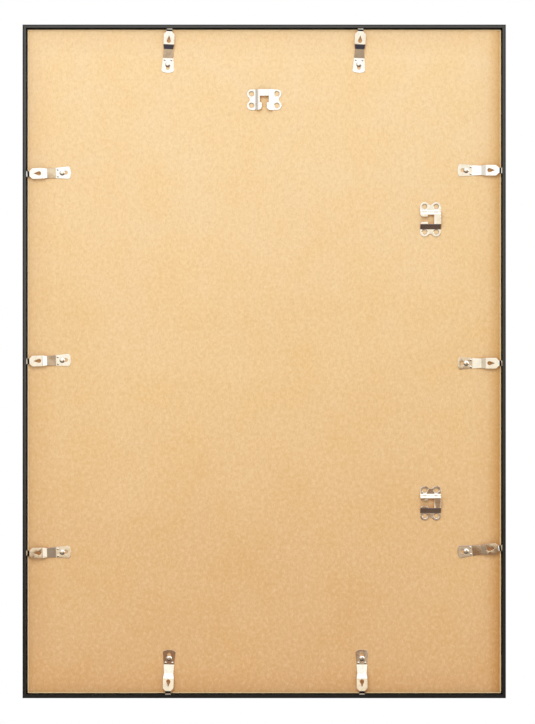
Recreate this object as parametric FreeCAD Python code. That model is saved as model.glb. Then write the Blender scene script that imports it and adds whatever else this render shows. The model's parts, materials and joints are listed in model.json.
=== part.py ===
import FreeCAD, Part
import math
import os

# A portrait picture frame for a 50 by 70 cm print, modelled from its back.
# Four mitred black rails hold glazing, a paper insert and a hardboard back.
# Ten spring clips turn on rivets in the board, and their tongues slide under the
# rails' lips. Three pressed steel hangers are set into the board.
# Seen from the back, X runs right and Z runs up. Y runs from the back to the front.
# The origin is on the board's back face, where a wall screw bears in the top hanger.

# Rails
outer_width = 508.0
outer_height = 708.0
rail_wall = 3.8            # wall beside the board, as wide as the lip at the back
groove_skin = 1.4          # what is left of the wall outside the groove
groove_height = 1.5
front_width = 10.0         # front face of a rail, from the outer edge to the sight edge
front_thickness = 5.6      # from the glazing's seat to the front face
back_round = 1.5
front_round = 0.8
lip_break = 0.3
sight_bevel = 1.2
chamber_wall = 1.5         # round the hollow that takes the corner keys

# Corner keys
key_arm = 32.0
key_play = 0.15
key_lead = 1.2             # chamfer on the end of each arm

# What the rails hold, from the back to the front
board_recess = 5.0         # from the rails' back face down to the board
board_thickness = 3.0
insert_thickness = 0.4
glazing_thickness = 2.0
board_clearance = 1.3
insert_clearance = 0.8
glazing_clearance = 0.3

# Spring clips, along their length from the foot's end to the tongue's tip
clip_sheet = 0.6
foot_length = 15.6
ramp_length = 9.4
step_length = 4.6
head_length = 13.5
fall_length = 2.4
tongue_length = 3.2
foot_width = 13.4
foot_root_width = 11.2
waist_width = 9.9
head_width = 11.4
tongue_width = 5.9
foot_end_sag = 1.1         # how far the rounded end stands beyond its corners
foot_corner_length = 1.2
foot_corner_width = 0.9
shoulder_length = 2.9      # how far the head narrows to the tongue
shoulder_round = 1.8
tongue_chamfer = 0.6
ramp_rise = 1.5            # rises are from the board to the underside of the sheet
head_rise = 3.5
head_end_rise = 4.25
tongue_rise = 1.3
wide_bend = 2.4            # bend radii at the middle of the sheet
tight_bend = 0.8
pivot_inset = 41.5         # from the frame's outer edge to a clip's rivet
pivot_from_end = 9.0       # from the foot's end to the rivet
tongue_play = 0.05         # between the tongue and the lip
drop_from_head = 4.4       # from the head's top edge to the tip of its drop-shaped hole
drop_length = 7.6
drop_width = 4.2
eye_from_end = 3.3         # from the foot's end to the small window beside the rivet
eye_length = 3.2
eye_width = 3.8
dimple_from_end = 13.7
dimple_spread = 7.2
dimple_radius = 1.1
dimple_height = 0.45

# Rivets
rivet_radius = 1.5
rivet_play = 0.05
rivet_head_radius = 2.9
rivet_head_height = 1.6
rivet_head_rim = 0.35
rivet_dome_bands = 3

# Hangers, in the way they hang: the mouth of the slot points down
hanger_sheet = 0.8
hanger_lift = 3.2          # room for a screw head behind the raised middle
hole_pitch_along = 26.8
hole_pitch_across = 12.2
lobe_radius = 4.9
lobe_notch = 2.9           # how far the waist between two lobes lies in from their ends
ear_length = 8.2
slope_length = 4.9         # the gentle side, at the right
slope_bend = 1.2
wall_from_middle = 7.7     # the steep side, at the left
wall_run = 1.6
wall_bend = 0.9
hole_radius = 2.35
collar_wall = 0.5
collar_depth = 1.8
collar_play = 0.05
bearing_rise = 3.7         # from the plate's middle up to the edge that bears
window_width = 9.4
window_height = 6.5
slot_width = 5.2
prong_chamfer = 0.6
mouth_round = 3.2
top_hanger_inset = 78.7    # from the frame's top edge to the plate's middle
side_hanger_inset = 79.0   # from the frame's right edge to the plate's middle
side_hanger_pitch = 298.5

# Where the clips sit. Each share is of its side's pitch, from the frame's middle.
end_clip_pitch = 100.0
side_clip_pitch = 200.0
clip_place_shares = {
    "top_left": -1.014,
    "top_right": 0.997,
    "bottom_left": -1.001,
    "bottom_right": 1.027,
    "left_upper": 0.992,
    "left_middle": 0.006,
    "left_lower": -1.004,
    "right_upper": 1.005,
    "right_middle": -0.010,
    "right_lower": -0.999,
}

# How each clip leans as it was left, in degrees, counterclockwise from the back.
clip_leans = {
    "top_left": -2.9,
    "top_right": -2.6,
    "bottom_left": -1.7,
    "bottom_right": 0.3,
    "left_upper": 2.1,
    "left_middle": 1.9,
    "left_lower": 1.7,
    "right_upper": -0.4,
    "right_middle": 0.0,
    "right_lower": 5.6,
}

overrun = 2.0              # how far a cutting shape stands beyond what it cuts
small_round_sides = 12     # flats on the small rounds that repeat: rivet heads, holes and collars
pip_sides = 6

# The quarter turns from the top side, counterclockwise from the back.
side_turns = {"top": 0.0, "left": 90.0, "bottom": 180.0, "right": 270.0}

vec = FreeCAD.Vector
origin = vec(0, 0, 0)
toward_back = vec(0, -1, 0)

# Sizes that follow from those above
top_hanger_height = outer_height / 2 - top_hanger_inset
middle_z = -(top_hanger_height + bearing_rise)
cavity_width = outer_width - 2 * rail_wall
cavity_height = outer_height - 2 * rail_wall
seat_depth = board_recess + board_thickness + insert_thickness + glazing_thickness
rail_depth = seat_depth + front_thickness
lip_thickness = board_recess - tongue_rise - clip_sheet - tongue_play
clip_length = foot_length + ramp_length + step_length + head_length + fall_length + tongue_length
hanger_length = hole_pitch_along + 2 * lobe_radius
hanger_width = hole_pitch_across + 2 * lobe_radius


def line(start, end):
    return Part.LineSegment(start, end).toShape()


def arc(start, through, end):
    return Part.Arc(start, through, end).toShape()


def closed_wire(edges):
    return Part.Wire(Part.__sortEdges__(edges))


def polygon(points):
    return Part.makePolygon(points + [points[0]])


def face_with_holes(wires):
    return Part.makeFace(wires, "Part::FaceMakerBullseye")


def small_round(radius, depth, x=0, z=0, sides=small_round_sides):
    # The corners of a round with few flats, at a depth in front of the board's back face.
    points = []
    for number in range(sides):
        angle = 2 * math.pi * number / sides
        points.append(vec(x + radius * math.cos(angle), depth, z + radius * math.sin(angle)))
    return points


def small_post(radius, low, high, x=0, z=0):
    # A round post with few flats, from one depth to another.
    return Part.Face(polygon(small_round(radius, low, x, z))).extrude(vec(0, high - low, 0))


def small_dome(rings):
    # A closed solid of flat faces between one small round and the next.
    faces = [Part.Face(polygon(rings[0])), Part.Face(polygon(rings[-1]))]
    for lower, upper in zip(rings, rings[1:]):
        for number in range(len(lower)):
            after = (number + 1) % len(lower)
            corners = [lower[number], lower[after], upper[after], upper[number]]
            faces.append(Part.Face(polygon(corners)))
    return Part.makeSolid(Part.makeShell(faces))


def clear_of_flats(radius):
    # The corner radius of a hole with few flats that clears a post of this radius.
    return radius / math.cos(math.pi / small_round_sides)


def in_frame(shape, x, z):
    # Moves a piece from its own middle to a place given from the frame's middle.
    moved = shape.copy()
    moved.translate(vec(x, 0, middle_z + z))
    return moved


def turned(shape, angle):
    # Turns a piece about its own middle, counterclockwise as seen from the back.
    copy = shape.copy()
    copy.rotate(origin, toward_back, angle)
    return copy


def sheet_side(path, bends, offset):
    # One face of a bent sheet, as straight runs joined by arcs about the bends.
    heads = []
    for first, second in zip(path, path[1:]):
        run = math.hypot(second[0] - first[0], second[1] - first[1])
        heads.append(((second[0] - first[0]) / run, (second[1] - first[1]) / run))
    edges = []
    along, height = heads[0]
    here = (path[0][0] - height * offset, path[0][1] + along * offset)
    ends = [here]
    for corner, bend, before, after in zip(path[1:-1], bends, heads, heads[1:]):
        cross = before[0] * after[1] - before[1] * after[0]
        turn = math.atan2(cross, before[0] * after[0] + before[1] * after[1])
        side = math.copysign(1, turn)
        tangent = bend * math.tan(abs(turn) / 2)
        start_mid = (corner[0] - before[0] * tangent, corner[1] - before[1] * tangent)
        end_mid = (corner[0] + after[0] * tangent, corner[1] + after[1] * tangent)
        centre = (start_mid[0] - before[1] * side * bend, start_mid[1] + before[0] * side * bend)
        reach = math.hypot(corner[0] - centre[0], corner[1] - centre[1])
        share = (bend - side * offset) / reach
        start = (start_mid[0] - before[1] * offset, start_mid[1] + before[0] * offset)
        through = (centre[0] + (corner[0] - centre[0]) * share, centre[1] + (corner[1] - centre[1]) * share)
        end = (end_mid[0] - after[1] * offset, end_mid[1] + after[0] * offset)
        edges.append(line(on_side(here), on_side(start)))
        edges.append(arc(on_side(start), on_side(through), on_side(end)))
        here = end
    along, height = heads[-1]
    last = (path[-1][0] - height * offset, path[-1][1] + along * offset)
    edges.append(line(on_side(here), on_side(last)))
    ends.append(last)
    return edges, ends


def on_side(point):
    # A point of a side view: the first value runs along Z and the second stands off the board.
    return vec(0, -point[1], point[0])


def bent_sheet(path, bends, thickness, width):
    # A strip bent to the path of its middle line, running along Z, centred on X.
    left_edges, left_ends = sheet_side(path, bends, thickness / 2)
    right_edges, right_ends = sheet_side(path, bends, -thickness / 2)
    caps = [line(on_side(left_ends[0]), on_side(right_ends[0]))]
    caps.append(line(on_side(left_ends[1]), on_side(right_ends[1])))
    face = Part.Face(closed_wire(left_edges + right_edges + caps))
    strip = face.extrude(vec(width, 0, 0))
    strip.translate(vec(-width / 2, 0, 0))
    return strip


def plan_block(wires, height):
    # Stands an outline, with any holes after it, up from below the board to above a piece.
    face = face_with_holes(wires)
    block = face.extrude(vec(0, -height - 2 * overrun, 0))
    block.translate(vec(0, overrun, 0))
    return block


# Rails

def rail_section():
    # u is the way in from the outer edge, and v the depth from the back face.
    def at(u, v):
        return vec(0, v - board_recess, u)

    half_round = 1 - math.sqrt(0.5)
    groove_end = lip_thickness + groove_height
    edges = [
        line(at(0, rail_depth - front_round), at(0, back_round)),
        arc(at(0, back_round), at(back_round * half_round, back_round * half_round), at(back_round, 0)),
        line(at(back_round, 0), at(rail_wall - lip_break, 0)),
        line(at(rail_wall - lip_break, 0), at(rail_wall, lip_break)),
        line(at(rail_wall, lip_break), at(rail_wall, lip_thickness)),
        line(at(rail_wall, lip_thickness), at(groove_skin, lip_thickness)),
        line(at(groove_skin, lip_thickness), at(groove_skin, groove_end)),
        line(at(groove_skin, groove_end), at(rail_wall, groove_end)),
        line(at(rail_wall, groove_end), at(rail_wall, seat_depth)),
        line(at(rail_wall, seat_depth), at(front_width, seat_depth)),
        line(at(front_width, seat_depth), at(front_width, rail_depth - sight_bevel)),
        line(at(front_width, rail_depth - sight_bevel), at(front_width - sight_bevel, rail_depth)),
        line(at(front_width - sight_bevel, rail_depth), at(front_round, rail_depth)),
        arc(at(front_round, rail_depth), at(front_round * half_round, rail_depth - front_round * half_round),
            at(0, rail_depth - front_round)),
    ]
    low = chamber_wall
    high = front_width - chamber_wall
    near = seat_depth + chamber_wall
    far = rail_depth - chamber_wall
    chamber = polygon([at(low, near), at(high, near), at(high, far), at(low, far)])
    return face_with_holes([closed_wire(edges), chamber])


def rail(length):
    # A bottom rail: the section run along X, with both ends mitred.
    bar = rail_section().extrude(vec(length, 0, 0))
    bar.translate(vec(-length / 2, 0, 0))
    outer = length / 2 + overrun
    inner = length / 2 - front_width - overrun
    shape = polygon([
        vec(-outer, 0, -overrun),
        vec(outer, 0, -overrun),
        vec(inner, 0, front_width + overrun),
        vec(-inner, 0, front_width + overrun),
    ])
    mitre = Part.Face(shape).extrude(vec(0, rail_depth + 2 * overrun, 0))
    mitre.translate(vec(0, -board_recess - overrun, 0))
    return bar.common(mitre)


def make_rails():
    side_rail = rail(outer_height)
    end_rail = rail(outer_width)
    return {
        "rail_bottom": in_frame(end_rail, 0, -outer_height / 2),
        "rail_top": in_frame(turned(end_rail, 180), 0, outer_height / 2),
        "rail_left": in_frame(turned(side_rail, -90), -outer_width / 2, 0),
        "rail_right": in_frame(turned(side_rail, 90), outer_width / 2, 0),
    }


def make_corner_keys():
    # An angle plate for the bottom left corner, turned into the other three.
    near = chamber_wall + key_play
    wide = front_width - chamber_wall - key_play
    end = near + key_arm
    outline = [
        (near, near),
        (end - key_lead, near),
        (end, near + key_lead),
        (end, wide - key_lead),
        (end - key_lead, wide),
        (wide, wide),
        (wide, end - key_lead),
        (wide - key_lead, end),
        (near + key_lead, end),
        (near, end - key_lead),
    ]
    thickness = front_thickness - 2 * chamber_wall - 2 * key_play
    back_face = seat_depth - board_recess + chamber_wall + key_play
    keys = {}
    corners = {"bottom_left": (-1, -1), "bottom_right": (1, -1), "top_right": (1, 1), "top_left": (-1, 1)}
    for name, (right, up) in corners.items():
        points = []
        for across, along in outline:
            x = right * (outer_width / 2 - across)
            points.append(vec(x, back_face, up * (outer_height / 2 - along)))
        plate = Part.Face(polygon(points)).extrude(vec(0, thickness, 0))
        keys["corner_key_" + name] = in_frame(plate, 0, 0)
    return keys


# Glazing, insert and board

def panel(clearance, near, thickness):
    # A flat sheet in the rails' cavity, from a depth measured off the board's back face.
    width = cavity_width - 2 * clearance
    height = cavity_height - 2 * clearance
    sheet = Part.makeBox(width, thickness, height)
    sheet.translate(vec(-width / 2, near, -height / 2))
    return in_frame(sheet, 0, 0)


def make_board():
    board = panel(board_clearance, 0, board_thickness)
    cutters = []
    for x, z, angle in clip_places().values():
        radius = clear_of_flats(rivet_radius + rivet_play)
        hole = small_post(radius, -overrun, board_thickness + overrun)
        cutters.append(in_frame(hole, x, z))
    for x, z, angle in hanger_places().values():
        for hole_x, hole_z in hanger_holes():
            outer = hole_radius + collar_wall + collar_play
            inner = hole_radius - collar_play
            ring = small_post(outer, -overrun, collar_depth + collar_play, hole_x, hole_z)
            ring = ring.cut(small_post(inner, -overrun, collar_depth + collar_play, hole_x, hole_z))
            cutters.append(in_frame(turned(ring, angle), x, z))
    return board.cut(Part.makeCompound(cutters))


# Spring clips

def clip_places():
    # Where each rivet stands, and the turn of its clip.
    places = {}
    for name, share in clip_place_shares.items():
        side = name.split("_")[0]
        angle = side_turns[side] + clip_leans[name]
        if side == "top":
            spot = (share * end_clip_pitch, outer_height / 2 - pivot_inset)
        elif side == "bottom":
            spot = (share * end_clip_pitch, pivot_inset - outer_height / 2)
        elif side == "left":
            spot = (pivot_inset - outer_width / 2, share * side_clip_pitch)
        else:
            spot = (outer_width / 2 - pivot_inset, share * side_clip_pitch)
        places[name] = (spot[0], spot[1], angle)
    return places


def clip_outline():
    # The clip's edge, worked out on the right-hand side and mirrored.
    def at(half_width, along, side):
        return vec(side * half_width, 0, along - pivot_from_end)

    ramp_end = foot_length + ramp_length
    head_start = ramp_end + step_length
    head_end = head_start + head_length
    corner_half = foot_width / 2 - foot_corner_width
    corner_end = foot_end_sag + foot_corner_length
    shoulder_run = (head_width - tongue_width) / 2
    shoulder_turn = math.atan2(shoulder_run, shoulder_length)
    shoulder_tangent = shoulder_round * math.tan(shoulder_turn / 2)
    shoulder_cut = shoulder_round * (1 / math.cos(shoulder_turn / 2) - 1)
    edges = [arc(at(corner_half, foot_end_sag, -1), at(0, 0, 1), at(corner_half, foot_end_sag, 1))]
    for side in (-1, 1):
        edges.append(line(at(corner_half, foot_end_sag, side), at(foot_width / 2, corner_end, side)))
        edges.append(line(at(foot_width / 2, corner_end, side), at(foot_root_width / 2, foot_length, side)))
        edges.append(line(at(foot_root_width / 2, foot_length, side), at(waist_width / 2, ramp_end, side)))
        edges.append(line(at(waist_width / 2, ramp_end, side), at(head_width / 2, head_start, side)))
        corner = head_end - shoulder_length
        round_start = at(head_width / 2, corner - shoulder_tangent, side)
        round_mid = at(
            head_width / 2 - shoulder_cut * math.cos(shoulder_turn / 2),
            corner - shoulder_cut * math.sin(shoulder_turn / 2),
            side,
        )
        round_end = at(
            head_width / 2 - shoulder_tangent * math.sin(shoulder_turn),
            corner + shoulder_tangent * math.cos(shoulder_turn),
            side,
        )
        edges.append(line(at(head_width / 2, head_start, side), round_start))
        edges.append(arc(round_start, round_mid, round_end))
        edges.append(line(round_end, at(tongue_width / 2, head_end, side)))
        neck = at(tongue_width / 2, clip_length - tongue_chamfer, side)
        edges.append(line(at(tongue_width / 2, head_end, side), neck))
        edges.append(line(neck, at(tongue_width / 2 - tongue_chamfer, clip_length, side)))
    tip_half = tongue_width / 2 - tongue_chamfer
    edges.append(line(at(tip_half, clip_length, -1), at(tip_half, clip_length, 1)))
    return closed_wire(edges)


def clip_drop_hole():
    # The drop-shaped hole in the head: a round end nearer the foot and a point beyond it.
    radius = drop_width / 2
    tip_z = foot_length + ramp_length + step_length + head_length - drop_from_head - pivot_from_end
    centre_z = tip_z - drop_length + radius
    touch_z = centre_z + radius ** 2 / (tip_z - centre_z)
    rounded = [corner for corner in small_round(radius, 0, 0, centre_z) if corner.z < touch_z]
    rounded.sort(key=lambda corner: math.atan2(corner.x, centre_z - corner.z))
    return polygon([vec(0, 0, tip_z)] + rounded)


def clip_eye():
    # The small window between the rivet and the foot's end, narrowed toward the end.
    half = eye_width / 2
    low = eye_from_end - pivot_from_end
    high = low + eye_length
    spring = low + half
    right_side = [(half / 2, low), (half, spring), (half, high)]
    corners = [vec(x, 0, z) for x, z in right_side]
    corners += [vec(-x, 0, z) for x, z in reversed(right_side)]
    return polygon(corners)


def clip_pip(x, z):
    # A small pip pressed up in the foot.
    root = small_round(dimple_radius, -clip_sheet / 2, x, z, pip_sides)
    rim = small_round(dimple_radius, -clip_sheet, x, z, pip_sides)
    crown = small_round(dimple_radius / 2, -clip_sheet - dimple_height, x, z, pip_sides)
    return small_dome([root, rim, crown])


def make_clip():
    # One clip about its rivet, with the tongue pointing up.
    middle = clip_sheet / 2
    stops = [0]
    for run in (foot_length, ramp_length, step_length, head_length, fall_length, tongue_length):
        stops.append(stops[-1] + run)
    rises = [0, 0, ramp_rise, head_rise, head_end_rise, tongue_rise, tongue_rise]
    path = []
    for stop, rise in zip(stops, rises):
        path.append((stop - pivot_from_end, rise + middle))
    bends = [wide_bend, wide_bend, wide_bend, tight_bend, tight_bend]
    strip = bent_sheet(path, bends, clip_sheet, foot_width + 2 * overrun)
    pivot_hole = polygon(small_round(clear_of_flats(rivet_radius + rivet_play), 0))
    wires = [clip_outline(), clip_drop_hole(), clip_eye(), pivot_hole]
    clip = strip.common(plan_block(wires, head_end_rise + clip_sheet))
    dimple_z = dimple_from_end - pivot_from_end
    for x in (-dimple_spread / 2, dimple_spread / 2):
        clip = clip.fuse(clip_pip(x, dimple_z))
    return clip.removeSplitter()


def make_rivet():
    # A domed rivet through the clip's foot and the board, flush with the board's front.
    under_head = -(clip_sheet + rivet_play)
    crown = under_head - rivet_head_height
    dome = rivet_head_height - rivet_head_rim
    ball_radius = (rivet_head_radius ** 2 + dome ** 2) / (2 * dome)
    dome_angle = math.asin(rivet_head_radius / ball_radius)
    rings = [small_round(rivet_head_radius, under_head)]
    for band in range(rivet_dome_bands):
        angle = dome_angle * (1 - band / rivet_dome_bands)
        depth = crown + ball_radius * (1 - math.cos(angle))
        rings.append(small_round(ball_radius * math.sin(angle), depth))
    head = small_dome(rings)
    length = board_thickness - under_head
    shank = Part.makeCylinder(rivet_radius, length, vec(0, under_head, 0), vec(0, 1, 0))
    return head.fuse(shank).removeSplitter()


def make_clips_and_rivets():
    clip = make_clip()
    rivet = make_rivet()
    pieces = {}
    for name, (x, z, angle) in clip_places().items():
        pieces["clip_" + name] = in_frame(turned(clip, angle), x, z)
        pieces["rivet_" + name] = in_frame(rivet, x, z)
    return pieces


# Hangers

def hanger_places():
    side_x = outer_width / 2 - side_hanger_inset
    return {
        "hanger_top": (0, top_hanger_height, 0),
        "hanger_right_upper": (side_x, side_hanger_pitch / 2, -90),
        "hanger_right_lower": (side_x, -side_hanger_pitch / 2, -90),
    }


def hanger_holes():
    spots = []
    for x in (-hole_pitch_along / 2, hole_pitch_along / 2):
        for z in (-hole_pitch_across / 2, hole_pitch_across / 2):
            spots.append((x, z))
    return spots


def hanger_outline():
    # Round lobes about the holes at both ends, and a mouth that leads up to the window.
    lobe_x = hole_pitch_along / 2
    lobe_z = hole_pitch_across / 2
    reach = lobe_radius - lobe_notch
    notch_radius = (reach ** 2 + lobe_z ** 2 - lobe_radius ** 2) / (2 * (lobe_radius - reach))
    notch_x = lobe_x + reach + notch_radius
    share = lobe_radius / (lobe_radius + notch_radius)
    meet_x = lobe_x + (notch_x - lobe_x) * share
    meet_z = lobe_z * (1 - share)
    diagonal = lobe_radius * math.sqrt(0.5)
    half = hanger_width / 2
    window_low = bearing_rise - window_height
    mouth_low = -half + mouth_round
    mouth_cut = mouth_round * (1 - math.sqrt(0.5))
    slot = slot_width / 2
    window = window_width / 2
    edges = [line(vec(-lobe_x, 0, half), vec(lobe_x, 0, half))]
    edges.append(line(vec(-window, 0, bearing_rise), vec(window, 0, bearing_rise)))
    for side in (-1, 1):
        def at(x, z):
            return vec(side * x, 0, z)

        edges.append(arc(at(lobe_x, half), at(lobe_x + diagonal, lobe_z + diagonal), at(meet_x, meet_z)))
        edges.append(arc(at(meet_x, meet_z), at(lobe_x + reach, 0), at(meet_x, -meet_z)))
        edges.append(arc(at(meet_x, -meet_z), at(lobe_x + diagonal, -lobe_z - diagonal), at(lobe_x, -half)))
        edges.append(line(at(lobe_x, -half), at(slot + mouth_round, -half)))
        mouth_mid = at(slot + mouth_cut, -half + mouth_cut)
        edges.append(arc(at(slot + mouth_round, -half), mouth_mid, at(slot, mouth_low)))
        edges.append(line(at(slot, mouth_low), at(slot, window_low - prong_chamfer)))
        edges.append(line(at(slot, window_low - prong_chamfer), at(slot + prong_chamfer, window_low)))
        edges.append(line(at(slot + prong_chamfer, window_low), at(window, window_low)))
        edges.append(line(at(window, window_low), at(window, bearing_rise)))
    return closed_wire(edges)


def make_hanger():
    # One hanger about its middle, with the mouth pointing down. The path runs from right to left.
    middle = hanger_sheet / 2
    half = hanger_length / 2
    slope_start = half - ear_length
    slope_end = slope_start - slope_length
    path = [
        (-half, middle),
        (-slope_start, middle),
        (-slope_end, hanger_lift + middle),
        (wall_from_middle - wall_run / 2, hanger_lift + middle),
        (wall_from_middle + wall_run / 2, middle),
        (half, middle),
    ]
    bends = [slope_bend, slope_bend, wall_bend, wall_bend]
    plate = turned(bent_sheet(path, bends, hanger_sheet, hanger_width + 2 * overrun), 90)
    plate = plate.common(plan_block([hanger_outline()], hanger_lift + hanger_sheet))
    for x, z in hanger_holes():
        plate = plate.fuse(small_post(hole_radius + collar_wall, -middle, collar_depth, x, z))
    for x, z in hanger_holes():
        plate = plate.cut(small_post(hole_radius, -hanger_sheet - overrun, collar_depth + overrun, x, z))
    return plate.removeSplitter()


def make_hangers():
    hanger = make_hanger()
    pieces = {}
    for name, (x, z, angle) in hanger_places().items():
        pieces[name] = in_frame(turned(hanger, angle), x, z)
    return pieces


def main():
    pieces = {}
    pieces.update(make_rails())
    pieces.update(make_corner_keys())
    insert_start = board_thickness
    glazing_start = insert_start + insert_thickness
    pieces["backing_board"] = make_board()
    pieces["paper_insert"] = panel(insert_clearance, insert_start, insert_thickness)
    pieces["glazing_sheet"] = panel(glazing_clearance, glazing_start, glazing_thickness)
    pieces.update(make_clips_and_rivets())
    pieces.update(make_hangers())
    os.makedirs("parts", exist_ok=True)
    for name, shape in pieces.items():
        solids = shape.Solids
        state = "valid" if shape.isValid() else "not valid"
        print(name, len(solids), "solid", state, round(shape.Volume, 1))
        if len(solids) == 1:
            shape = solids[0]
        shape.exportStep("parts/" + name + ".step")


main()
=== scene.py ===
import json
import math
import bpy
import bmesh
from mathutils import Matrix, Vector, noise


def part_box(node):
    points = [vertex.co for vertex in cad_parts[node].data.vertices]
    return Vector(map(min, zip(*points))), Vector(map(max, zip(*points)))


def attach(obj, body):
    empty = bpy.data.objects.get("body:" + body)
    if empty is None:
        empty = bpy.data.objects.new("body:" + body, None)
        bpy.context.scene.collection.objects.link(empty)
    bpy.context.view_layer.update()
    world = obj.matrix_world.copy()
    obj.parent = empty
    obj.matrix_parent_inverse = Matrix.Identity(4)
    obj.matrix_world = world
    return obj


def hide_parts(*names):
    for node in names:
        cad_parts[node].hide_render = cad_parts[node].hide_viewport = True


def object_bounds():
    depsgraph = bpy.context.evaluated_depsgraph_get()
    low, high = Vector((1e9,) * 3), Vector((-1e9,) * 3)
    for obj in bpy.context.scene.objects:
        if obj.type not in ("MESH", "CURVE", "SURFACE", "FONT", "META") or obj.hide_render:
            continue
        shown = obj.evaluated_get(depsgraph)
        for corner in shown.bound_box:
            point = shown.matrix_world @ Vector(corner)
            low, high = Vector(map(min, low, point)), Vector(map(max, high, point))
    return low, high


# Portrait picture frame seen from its back: black rails, hardboard back, ten turning
# spring clips and three wall hangers. Metres, with the pieces' own sizes in millimetres.

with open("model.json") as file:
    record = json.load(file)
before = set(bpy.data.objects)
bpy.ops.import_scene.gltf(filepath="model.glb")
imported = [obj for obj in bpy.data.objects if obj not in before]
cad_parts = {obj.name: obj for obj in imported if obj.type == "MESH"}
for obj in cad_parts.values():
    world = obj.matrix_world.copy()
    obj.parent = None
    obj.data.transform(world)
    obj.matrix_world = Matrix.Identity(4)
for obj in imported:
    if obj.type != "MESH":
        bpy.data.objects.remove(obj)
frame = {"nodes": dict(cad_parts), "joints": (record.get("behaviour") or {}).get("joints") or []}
nodes = frame["nodes"]
scene = bpy.context.scene
bpy.context.view_layer.update()
cadLow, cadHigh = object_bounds()
mm = 0.001
print("frame loaded:", len(nodes), "nodes")


# Camera, straight on to the back

cameraSetup = {
    "imageWide": 535, "imageTall": 724,
    "frameCentrePx": (264.2, 361.35),  # where the frame's middle stands in the picture
    "metresPerPx": 0.0010504,         # at the rails' back face
    "distance": 2.4,
    "sensor": 36.0,
}


def placeCamera(setup):
    middle = (cadLow + cadHigh) / 2
    offRight = (setup["imageWide"] / 2 - setup["frameCentrePx"][0]) * setup["metresPerPx"]
    offDown = (setup["imageTall"] / 2 - setup["frameCentrePx"][1]) * setup["metresPerPx"]
    data = bpy.data.cameras.new("camera")
    data.sensor_fit = "VERTICAL"
    data.sensor_width = data.sensor_height = setup["sensor"]
    tallOfView = setup["imageTall"] * setup["metresPerPx"]
    data.lens = setup["sensor"] * setup["distance"] / tallOfView
    camera = bpy.data.objects.new("camera", data)
    camera.location = (middle.x + offRight, cadLow.y - setup["distance"], middle.z - offDown)
    camera.rotation_euler = (math.radians(90), 0, 0)
    scene.collection.objects.link(camera)
    scene.camera = camera


placeCamera(cameraSetup)


# Small helpers for node trees

def startMaterial(name):
    material = bpy.data.materials.new(name)
    material.use_nodes = True
    tree = material.node_tree
    return material, tree, tree.nodes["Principled BSDF"]


def fill(tree, node, inputs):
    for key, value in inputs.items():
        if isinstance(value, bpy.types.NodeSocket):
            tree.links.new(value, node.inputs[key])
        else:
            node.inputs[key].default_value = value


def addNode(tree, kind, inputs=None, **settings):
    node = tree.nodes.new(kind)
    for key, value in settings.items():
        setattr(node, key, value)
    fill(tree, node, inputs or {})
    return node


def calc(tree, operation, a, b=0.0):
    return addNode(tree, "ShaderNodeMath", {0: a, 1: b}, operation=operation).outputs[0]


def times(tree, a, b):
    return calc(tree, "MULTIPLY", a, b)


def lesser(tree, a, b):
    return calc(tree, "MINIMUM", a, b)


def objectCoords(tree, stretch=(1, 1, 1)):
    coords = addNode(tree, "ShaderNodeTexCoord").outputs["Object"]
    return addNode(tree, "ShaderNodeMapping", {"Vector": coords, "Scale": stretch}).outputs[0]


def axesOf(tree, coords):
    return addNode(tree, "ShaderNodeSeparateXYZ", {"Vector": coords}).outputs


def grain(tree, coords, scale, detail=4.0, rough=0.55, warp=0.0):
    inputs = {
        "Vector": coords, "Scale": scale, "Detail": detail, "Roughness": rough, "Distortion": warp}
    return addNode(tree, "ShaderNodeTexNoise", inputs).outputs["Fac"]


def remap(tree, value, low, high, toLow=0.0, toHigh=1.0):
    inputs = {
        "Value": value, "From Min": low, "From Max": high, "To Min": toLow, "To Max": toHigh}
    return addNode(tree, "ShaderNodeMapRange", inputs, clamp=True).outputs["Result"]


def ramp(tree, value, stops):
    node = addNode(tree, "ShaderNodeValToRGB", {"Fac": value})
    elements = node.color_ramp.elements
    while len(elements) < len(stops):
        elements.new(0.5)
    for element, (place, colour) in zip(elements, stops):
        element.position = place
        element.color = (*colour, 1)
    return node.outputs["Color"]


def blendColours(tree, share, first, second, mode="MIX"):
    # The node's colour sockets are told apart by number: share, first and second
    node = addNode(tree, "ShaderNodeMix", data_type="RGBA", blend_type=mode)
    colours = [part if isinstance(part, bpy.types.NodeSocket) else (*part, 1)
               for part in (first, second)]
    fill(tree, node, {0: share, 6: colours[0], 7: colours[1]})
    return node.outputs[2]


def bump(tree, height, distance, strength=1.0, under=None):
    inputs = {"Height": height, "Distance": distance, "Strength": strength}
    if under is not None:
        inputs["Normal"] = under
    return addNode(tree, "ShaderNodeBump", inputs).outputs["Normal"]


def insetFrom(tree, axes, low, high):
    # How far a point lies inside a box's four sides, seen from the back
    gaps = []
    for axis, first, last in (("X", low.x, high.x), ("Z", low.z, high.z)):
        fromFirst = calc(tree, "SUBTRACT", axes[axis], first)
        gaps.append(lesser(tree, fromFirst, calc(tree, "SUBTRACT", last, axes[axis])))
    return lesser(tree, *gaps)


# In every finish below, a grain is (scale, detail, roughness, warp), a span is
# (from, to) with the two values it is mapped to, and a relief is (distance, strength).

# Hardboard: pressed wood fibre

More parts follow.
